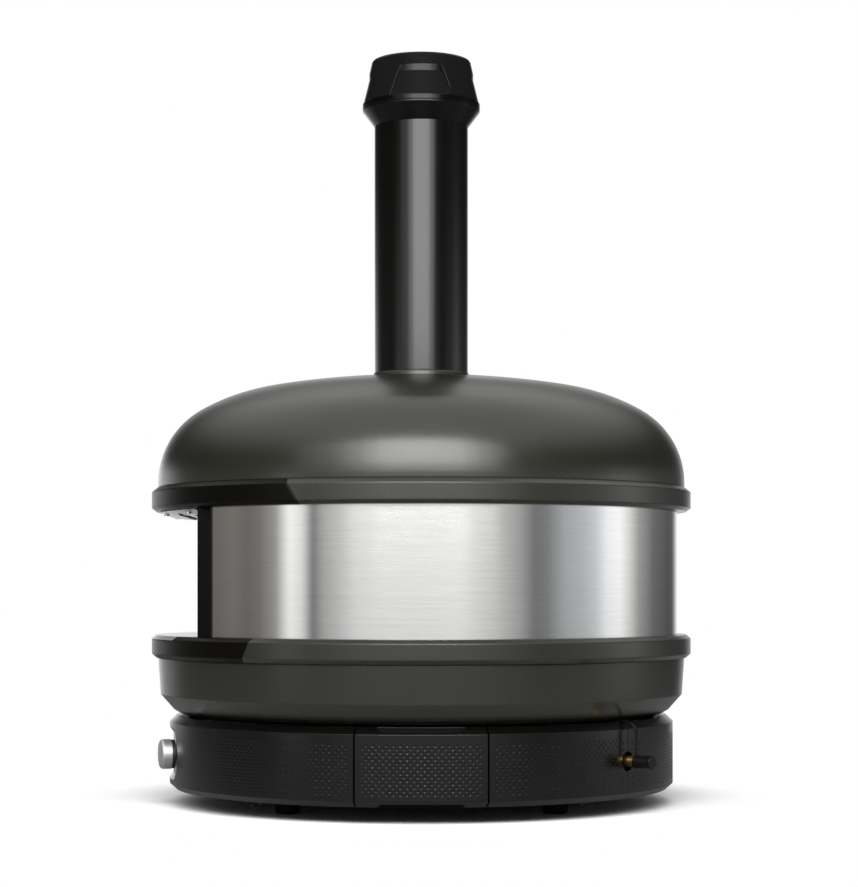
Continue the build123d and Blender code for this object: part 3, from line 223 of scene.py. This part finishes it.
def powder_coat(name, color, rough, grain_size, grain_depth, edge_radius, refraction):
    """Painted sheet metal: a fine orange-peel grain, faint clouding and rubbed spots."""
    finish = Finish(name)
    cloud = finish.noise(scale=9.0, detail=4.0)
    grain = finish.noise(scale=1.0 / grain_size, detail=2.0)
    rubbed = finish.noise(scale=38.0, detail=5.0, rough=0.65).band(0.62, 0.82)
    shade = finish.blend(cloud, scaled(color, 0.9), scaled(color, 1.1))
    shade = finish.blend(rubbed * 0.25, shade, scaled(color, 1.5, lift=0.006))
    gloss = rough + cloud.swing(0.08) + grain.swing(0.05) - rubbed * 0.03
    edges = finish.node("ShaderNodeBevel", {"samples": 6}, {"Radius": edge_radius})
    bump = finish.relief(grain, grain_depth, strength=0.6, Normal=edges)
    return finish.surface(shade, gloss, metal=0.0, normal=bump, others={"IOR": refraction})


def brushed_steel(name, color, rough, lines, depth=2.0e-5, others=None):
    """Metal with fine brush lines. lines(finish) gives coordinates stretched along them."""
    finish = Finish(name)
    place = lines(finish)
    coarse = finish.noise(scale=1.0, detail=4.0, rough=0.7, place=place)
    fine = finish.noise(scale=4.3, detail=3.0, rough=0.6, place=place)
    cloud = finish.noise(scale=7.0, detail=3.0)
    mix = coarse * 0.6 + fine * 0.4
    shade = finish.blend(mix.band(0.25, 0.75), scaled(color, 0.92), scaled(color, 1.05))
    shade = finish.blend(cloud * 0.25, shade, scaled(color, 0.9))
    gloss = rough + mix.swing(0.06) + cloud.swing(0.03)
    bump = finish.relief(mix, depth, strength=0.5)
    return finish.surface(shade, gloss, metal=1.0, normal=bump, others=others)


def turned_knob(name, color, rough):
    """The knob's machined steel: rings on its face, and fine lines round its side."""
    finish = Finish(name)
    turn = {"Vector": finish.place, "Rotation": (0.0, 0.0, -KNOB_AZIMUTH)}
    reach, across, height = finish.axes(finish.node("ShaderNodeMapping", None, turn))
    upward = height - CONTROL_HEIGHT
    ring = (across * across + upward * upward) ** 0.5
    angle = upward.maths("ARCTAN2", across)
    rings = finish.vector(ring * 1600.0, reach * 1600.0, angle * 1.5)
    lines = finish.noise(scale=1.0, detail=3.0, rough=0.6, place=rings)
    cloud = finish.noise(scale=90.0, detail=3.0)
    shade = finish.blend(lines, scaled(color, 0.9), scaled(color, 1.06))
    gloss = rough + lines.swing(0.12) + cloud.swing(0.06)
    bump = finish.relief(lines, 1.2e-5, strength=0.5)
    return finish.surface(shade, gloss, metal=1.0, normal=bump)


def heated_steel(name, color, rough):
    """Steel that a flame has tinted: straw and brown clouds, and soot above the flame."""
    straw = (0.36, 0.25, 0.15)
    black = (0.02, 0.018, 0.016)
    finish = Finish(name)
    cloud = finish.noise(scale=11.0, detail=5.0, rough=0.6)
    grain = finish.noise(scale=240.0, detail=3.0)
    tint = finish.blend(cloud.band(0.35, 0.7), color, straw)
    _, backward, _ = finish.axes(finish.place)
    patches = finish.noise(scale=17.0, detail=6.0, rough=0.65).band(0.38, 0.66)
    soot = backward.band(0.02, 0.24) * patches * 0.75
    shade = finish.blend(soot, tint, black)
    gloss = rough + soot * 0.35 + cloud.swing(0.15)
    bump = finish.relief(grain, 6.0e-5, strength=0.4)
    return finish.surface(shade, gloss, metal=1.0 - soot * 0.85, normal=bump)


def baking_stone(name):
    """A baking stone: sandy, speckled and pitted, and browned in patches where it has baked."""
    dark_sand, light_sand = (0.46, 0.39, 0.3), (0.66, 0.58, 0.46)
    dark_speck, brown = (0.28, 0.22, 0.16), (0.17, 0.11, 0.065)
    finish = Finish(name)
    sand = finish.noise(scale=620.0, detail=4.0, rough=0.7)
    speck = finish.noise(scale=210.0, detail=2.0).band(0.6, 0.72)
    cloud = finish.noise(scale=14.0, detail=5.0, rough=0.6)
    base = finish.blend(sand, dark_sand, light_sand)
    base = finish.blend(speck * 0.5, base, dark_speck)
    baked = finish.blend(cloud.band(0.5, 0.78) * 0.55, base, brown)
    pits = finish.relief(sand, 3.0e-4, strength=0.7)
    return finish.surface(baked, 0.86 + sand.swing(0.12), metal=0.0, normal=pits)


# Paint, and rubber, fibre and ceramic: colour, roughness, then the grain's size, the grain's
# depth and the radius of the rounded edges in metres, and the index of refraction
COATS = {
    "casing_grey": ((0.0152, 0.0154, 0.0115), 0.26, 0.0011, 6.0e-6, 0.0024, 1.5),
    "front_black": ((0.002, 0.0017, 0.0014), 0.33, 0.0011, 8.0e-6, 0.0024, 1.19),
    "flue_black": ((0.0018, 0.0017, 0.0015), 0.2, 0.0011, 6.0e-6, 0.0011, 1.38),
    "cowl_black": ((0.0016, 0.0015, 0.0014), 0.24, 0.0011, 8.0e-6, 0.0011, 1.3),
    "cap_black": ((0.0016, 0.0015, 0.0014), 0.22, 0.0011, 6.0e-6, 0.0011, 1.26),
    "frame_black": ((0.0012, 0.0011, 0.001), 0.4, 0.0011, 8.0e-6, 0.0011, 1.12),
    "base_black": ((0.0014, 0.0013, 0.0011), 0.24, 0.0008, 1.0e-5, 0.0011, 1.39),
    # The pan's black paint made darker still as painted shade, so the notch and the gap under
    # the casing look unlit
    "pan_black": ((0.0012, 0.0012, 0.0012), 0.6, 0.0011, 3.0e-5, 0.0011, 1.2),
    # The spacers' finish is painted shade: near black steel, so they sink into the unlit gap
    # between the base and the casing
    "spacer_black": ((0.0012, 0.0012, 0.0012), 0.6, 0.0009, 3.0e-5, 0.0011, 1.2),
    "nut_black": ((0.0015, 0.0015, 0.0015), 0.5, 0.0009, 3.0e-5, 0.0011, 1.2),
    "clip_black": ((0.004, 0.004, 0.004), 0.3, 0.0009, 2.0e-5, 0.0011, 1.5),
    "knob_black": ((0.006, 0.006, 0.006), 0.48, 0.0005, 5.0e-5, 0.0011, 1.5),
    "black_rubber": ((0.003, 0.003, 0.003), 0.4, 0.0006, 4.0e-5, 0.0011, 1.3),
    "fibre_blanket": ((0.78, 0.77, 0.73), 0.95, 0.002, 5.0e-4, 0.0011, 1.5),
    "electrode_ceramic": ((0.76, 0.75, 0.7), 0.3, 0.001, 2.0e-5, 0.0011, 1.5),
}
# Colour, roughness, brush lines
BRUSHED = {
    "plain_steel": ((0.5, 0.5, 0.49), 0.34, upright_lines),
    "brass": ((0.62, 0.42, 0.18), 0.28, turned_lines),
    "landing_steel": ((0.74, 0.735, 0.725), 0.32, cross_lines),
    "lining_steel": ((0.72, 0.71, 0.7), 0.36, cross_lines),
    "plate_steel": ((0.55, 0.55, 0.54), 0.34, cross_lines),
}
# Colour, roughness
HEATED = {
    "dome_steel": ((0.5, 0.46, 0.41), 0.4),
    "liner_steel": ((0.52, 0.49, 0.45), 0.38),
    "burner_steel": ((0.42, 0.37, 0.33), 0.42),
    "tray_steel": ((0.5, 0.48, 0.45), 0.4),
}
# Pieces whose finish isn't the one named after their slot
OWN_FINISHES = {
    "landing_plate": "landing_steel",
    "canopy_lining": "lining_steel",
    "canopy_screws": "lining_steel",
    "control_plate": "plate_steel",
    "control_knob": "knob_steel",
    "inner_dome": "dome_steel",
    "mouth_liner": "liner_steel",
    "burner_tube": "burner_steel",
    "hearth_tray": "tray_steel",
    # The pan and its top plate take a finish with painted shade for the gap under the casing
    "base_pan": "pan_black",
    "base_top_plate": "pan_black",
    # The spacers take painted shade for the unlit gap between the base and the casing
    "heat_spacers": "spacer_black",
    "mouth_frame": "frame_black",
    "flue_cap": "cap_black",
    "flue_cowl": "cowl_black",
    "inlet_lock_nut": "nut_black",
    "stand_clips": "clip_black",
}


def make_finishes():
    # The band's brush lines run level, so its highlights are drawn out upright
    drawn_out = {"Anisotropic": 0.85, "Anisotropic Rotation": 0.25}
    made = {
        "stainless": brushed_steel(
            "stainless", (0.6, 0.598, 0.592), 0.14, turned_lines, 5.0e-6, drawn_out
        ),
        "knob_steel": turned_knob("knob_steel", (0.52, 0.515, 0.51), 0.5),
        "hearth_stone": baking_stone("hearth_stone"),
    }
    for maker, table in ((powder_coat, COATS), (brushed_steel, BRUSHED), (heated_steel, HEATED)):
        for name, looks in table.items():
            made[name] = maker(name, *looks)
    return made


def dress_pieces():
    for part in frame["record"]["subparts"]:
        name = part["node"]
        for slot in nodes[name].material_slots:
            slot.material = finishes[OWN_FINISHES.get(name, part["material_slot"])]


finishes = make_finishes()


def add_object(name, data):
    made = bpy.data.objects.new(name, data)
    bpy.context.collection.objects.link(made)
    return made


# Dents in the base's panels, cut by Geometry Nodes


class GeometryTree(NodeTree):
    """A Geometry Nodes tree with named inputs."""

    def __init__(self, name, kinds):
        super().__init__(bpy.data.node_groups.new(name, "GeometryNodeTree"))
        self.identifiers = {}
        for label, kind in {"Geometry": "Geometry", **kinds}.items():
            self.identifiers[label] = self.add_socket(label, "INPUT", kind)
        self.add_socket("Geometry", "OUTPUT", "Geometry")
        self.given = self.node("NodeGroupInput")

    def add_socket(self, label, side, kind):
        socket_type = "NodeSocket" + kind
        made = self.tree.interface.new_socket(label, in_out=side, socket_type=socket_type)
        return made.identifier

    def finish(self, geometry, material):
        """Ends the tree in real geometry with a material."""
        real = self.node("GeometryNodeRealizeInstances", None, {"Geometry": geometry})
        done = self.node(
            "GeometryNodeSetMaterial", None, {"Geometry": real, "Material": material}
        )
        self.node("NodeGroupOutput", None, {0: done})

    def apply(self, holder, sizes, name):
        """Runs the tree on an object and gives the result as a plain mesh."""
        modifier = holder.modifiers.new("tree", "NODES")
        modifier.node_group = self.tree
        for label, size in sizes.items():
            modifier[self.identifiers[label]] = size
        bpy.context.view_layer.update()
        seen = holder.evaluated_get(bpy.context.evaluated_depsgraph_get())
        mesh = bpy.data.meshes.new_from_object(seen)
        mesh.name = name
        holder.modifiers.remove(modifier)
        return mesh


def dent_tree():
    """Rows of round dents, every second row set over by half a step, cut into a curved panel."""
    sizes = (
        "Column step", "Row step", "Lowest row", "Middle angle", "Panel radius",
        "Ball radius", "Ball rise", "Hole angle", "Hole height", "Hole clearance",
    )
    kinds = {"Columns": "Int", "Rows": "Int", "Material": "Material"}
    tree = GeometryTree("panel_dents", {**kinds, **dict.fromkeys(sizes, "Float")})
    given = tree.given
    columns = given.at("Columns")
    radius = given.at("Panel radius")

    # Long rows have one dent more than short ones, whose last point is left out
    long_row = columns + 1.0
    index = tree.node("GeometryNodeInputIndex")
    row = ((index + 0.5) / long_row).maths("FLOOR")
    column = index - row * long_row
    in_short_row = 1.0 - row.maths("MODULO", 2.0)
    shift = in_short_row * 0.5
    spare = (column + shift).maths("GREATER_THAN", columns - 0.25) * in_short_row

    along = (column - columns * 0.5 + shift) * given.at("Column step")
    angle = given.at("Middle angle") + along / radius
    height = given.at("Lowest row") + row * given.at("Row step")
    cosine, sine = angle.maths("COSINE"), angle.maths("SINE")
    reach = radius + given.at("Ball rise")
    place = tree.vector(cosine * reach, sine * reach, height)
    outward = tree.vector(cosine, sine, 0.0)

    across = (angle - given.at("Hole angle")) * radius
    upward = height - given.at("Hole height")
    from_hole = (across * across + upward * upward).maths("SQRT")
    in_hole = from_hole.maths("LESS_THAN", given.at("Hole clearance"))
    kept = spare.maths("MAXIMUM", in_hole).maths("LESS_THAN", 0.5)

    points = tree.node("GeometryNodePoints", None, {"Count": long_row * given.at("Rows")})
    points = tree.node("GeometryNodeSetPosition", None, {"Geometry": points, "Position": place})
    turn = tree.node("FunctionNodeAlignRotationToVector", {"axis": "Z"}, {"Vector": outward})
    round_one = {"Segments": 12, "Rings": 9, "Radius": given.at("Ball radius")}
    ball = tree.node("GeometryNodeMeshUVSphere", None, round_one)
    setting = {"Points": points, "Selection": kept, "Instance": ball, "Rotation": turn}
    balls = tree.node("GeometryNodeInstanceOnPoints", None, setting)
    cutter = tree.node("GeometryNodeRealizeInstances", None, {"Geometry": balls})
    welding = {"Geometry": given.at("Geometry"), "Distance": 2e-6}
    closed = tree.node("GeometryNodeMergeByDistance", None, welding)
    cut = tree.node(
        "GeometryNodeMeshBoolean",
        {"operation": "DIFFERENCE", "solver": "MANIFOLD"},
        {"Mesh 1": closed, "Mesh 2": cutter},
    )
    tree.finish(cut, given.at("Material"))
    return tree


def round_normals(mesh, radius):
    """Normals of the true round face on a mesh whose outer face is made of flats."""
    sharp_angle = math.radians(24.0)
    deepest_flat = 0.0004
    least_outward = 0.99
    mesh.shade_smooth()
    mesh.set_sharp_from_angle(angle=sharp_angle)
    normals = [Vector(corner.vector) for corner in mesh.corner_normals]
    for face in mesh.polygons:
        points = [mesh.vertices[number].co for number in face.vertices]
        if min(point.xy.length for point in points) < radius - deepest_flat:
            continue
        if face.normal.dot(face.center.xy.normalized().to_3d()) < least_outward:
            continue
        for loop in face.loop_indices:
            spot = mesh.vertices[mesh.loops[loop].vertex_index].co
            normals[loop] = spot.xy.normalized().to_3d()
    mesh.normals_split_custom_set(normals)


PANEL_RADIUS = 0.3
DENT_RADIUS = 0.0015
DENT_DEPTH = 0.00055
# The ball that leaves a dent of this radius and depth
BALL_RADIUS = (DENT_RADIUS**2 + DENT_DEPTH**2) / (2 * DENT_DEPTH)
DENT_SIZES = {
    "Rows": 15,
    "Column step": 0.0075,
    "Row step": 0.003764,
    "Lowest row": 0.0334,
    "Panel radius": PANEL_RADIUS,
    "Ball radius": BALL_RADIUS,
    "Ball rise": BALL_RADIUS - DENT_DEPTH,
    # No dents round the gas nipple
    "Hole angle": math.radians(50.3),
    "Hole height": CONTROL_HEIGHT,
    "Hole clearance": 0.0135,
    "Material": finishes["base_black"],
}
NEIGHBOUR = 32.15
PANELS = (
    # name, body, middle angle in degrees, dents in a short row
    ("right_panel", "right_panel", 0.0, 17),
    ("left_panel", "left_panel", 180.0, 17),
    ("right_front_panel", "oven", -NEIGHBOUR, 23),
    ("right_rear_panel", "oven", NEIGHBOUR, 23),
    ("left_front_panel", "oven", 180.0 + NEIGHBOUR, 23),
    ("left_rear_panel", "oven", 180.0 - NEIGHBOUR, 23),
    ("rear_panel", "oven", 90.0, 53),
)


def make_dented_panels():
    tree = dent_tree()
    for name, body, middle, columns in PANELS:
        holder = add_object("holder", nodes[name].data.copy())
        sizes = {"Columns": columns, "Middle angle": math.radians(middle), **DENT_SIZES}
        mesh = tree.apply(holder, sizes, "dented_" + name)
        bpy.data.objects.remove(holder)
        round_normals(mesh, PANEL_RADIUS)
        piece = add_object("dented_" + name, mesh)
        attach(piece, body)
        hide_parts(name)


# Floor, room, camera and lamps

FLOOR_RADIUS = 1.4
FLOOR_CORNERS = 64
# Where the lit floor gives way to plain white, by distance: for the camera, in shiny pieces
FADE = (0.3, 0.44)
SHINY_FADE = (0.5, 1.2)


def make_floor():
    """A pale floor that keeps the oven's shadow and runs out into the white of the room."""
    turns = [2.0 * math.pi * number / FLOOR_CORNERS for number in range(FLOOR_CORNERS)]
    mesh = bpy.data.meshes.new("floor")
    mesh.from_pydata(
        [(FLOOR_RADIUS * math.cos(turn), FLOOR_RADIUS * math.sin(turn), 0.0) for turn in turns],
        [],
        [list(range(FLOOR_CORNERS))],
    )
    floor = add_object("floor", mesh)
    paint = Finish("pale_floor")
    camera, shiny = paint.rays()
    near = paint.node("ShaderNodeBsdfDiffuse", None, {"Color": paint.grey(0.45 + camera * 0.8)})
    far = paint.node("ShaderNodeEmission", None, {"Color": paint.grey(1.0 - shiny * 0.68)})
    length = paint.node("ShaderNodeVectorMath", {"operation": "LENGTH"}, {0: paint.place})
    distance = length.at("Value")
    share = distance.band(*FADE) * camera + distance.band(*SHINY_FADE) * shiny
    shader = paint.node("ShaderNodeMixShader", None, {0: share, 1: near, 2: far})
    paint.node("ShaderNodeOutputMaterial", None, {"Surface": shader})
    mesh.materials.append(paint.material)


# How bright the room is, seen level in polished metal, by degrees from +X towards +Y.
# A colour ramp holds no more stops than these 32.
ROOM = (
    (-180, 0.7), (-165, 1.0), (-140, 0.9), (-126, 0.21), (-106, 0.17), (-90, 0.25),
    (-82, 0.2), (-75, 0.25), (-66, 0.5), (-59, 1.65), (-53, 1.3), (-48, 0.2),
    (-43, 0.62), (-38, 0.8), (-27, 1.2), (17, 1.27), (26, 1.08), (34, 0.9),
    (43, 0.6), (50, 0.26), (56, 0.32), (65, 0.65), (75, 0.8), (82, 1.0),
    (89, 1.5), (97, 1.6), (103, 1.15), (111, 0.5), (124, 0.18), (142, 0.08),
    (168, 0.12), (180, 0.7),
)


def make_room():
    """White for the camera, and for shiny pieces a studio: dark and bright walls, a ceiling."""
    world = bpy.data.worlds.new("room")
    world.use_nodes = True
    bpy.context.scene.world = world
    room = Shading(world.node_tree)
    x, y, z = room.axes(room.node("ShaderNodeTexCoord").at("Generated"))
    camera, shiny = room.rays()

    # Whole turns from -X, by way of -Y
    angle = y.maths("ARCTAN2", x) / (2 * math.pi) + 0.5
    # The ramp holds half the level, because its colours end at 1
    stops = [(degrees / 360.0 + 0.5, (0.5 * level,) * 3) for degrees, level in ROOM]
    walls = room.node("ShaderNodeValToRGB", {"stops": stops}, {"Fac": angle}) * 2.0
    # The walls are dimmer below eye height and end a little above it
    low = 1.0 - z.band(0.06, 0.17)
    rise = z.band(-0.09, 0.08) * 0.65 + 0.62
    ceiling = z.band(0.32, 0.84) * 1.3
    far_wall = (x * -1.0).band(0.86, 0.99) * 0.9
    seen_shiny = walls * low * rise + ceiling + far_wall + 0.04
    seen_dull = 0.3
    indirect = (1.0 - shiny) * seen_dull + shiny * seen_shiny
    strength = indirect * (1.0 - camera) + camera

    warm = (angle.band(0.12, 0.17) - angle.band(0.29, 0.33)) * low * shiny
    cool = (angle.band(0.61, 0.67) - angle.band(0.74, 0.78)) * low * shiny
    tint = room.blend(warm, (1.0, 1.0, 1.0), (1.0, 0.95, 0.885))
    tint = room.blend(cool, tint, (0.95, 0.975, 1.0))
    light = room.node("ShaderNodeBackground", None, {"Color": tint, "Strength": strength})
    room.node("ShaderNodeOutputWorld", None, {"Surface": light})


def make_camera():
    """The photograph's view: level, from the oven's right side, at the height of its band."""
    camera = bpy.data.cameras.new("camera")
    camera.lens = 94.57
    camera.sensor_width = 36.0
    camera.shift_x = 0.0087
    camera.shift_y = 0.1618
    camera.clip_end = 60.0
    holder = add_object("camera", camera)
    holder.location = (2.796, 0.0, 0.2567)
    holder.rotation_euler = (math.pi / 2, 0.0, math.pi / 2)
    bpy.context.scene.camera = holder


SOFTBOX_AIM = Vector((0.0, 0.0, 0.75))
SOFTBOX_HEIGHT = 1.0
SOFTBOXES = (
    # name, place, width, radiance
    ("wide_softbox", (1.6, -0.25, 1.12), 2.9, 1.2),
    ("key_softbox", (1.58, 0.0, 1.12), 1.95, 3.3),
    ("bright_softbox", (1.56, 0.0, 1.12), 1.15, 5.6),
)


def make_softboxes():
    """Soft lamps of plain white above the oven's right side, which the camera doesn't see."""
    for name, place, width, radiance in SOFTBOXES:
        lamp = bpy.data.lights.new(name, "AREA")
        lamp.shape = "RECTANGLE"
        lamp.size, lamp.size_y = width, SOFTBOX_HEIGHT
        lamp.energy = radiance * math.pi * width * SOFTBOX_HEIGHT
        holder = add_object(name, lamp)
        holder.location = place
        holder.rotation_euler = (SOFTBOX_AIM - Vector(place)).to_track_quat("-Z", "Y").to_euler()
        holder.visible_camera = False


dress_pieces()
make_dented_panels()
make_floor()
make_room()
make_camera()
make_softboxes()
bpy.context.scene.view_settings.view_transform = "Standard"
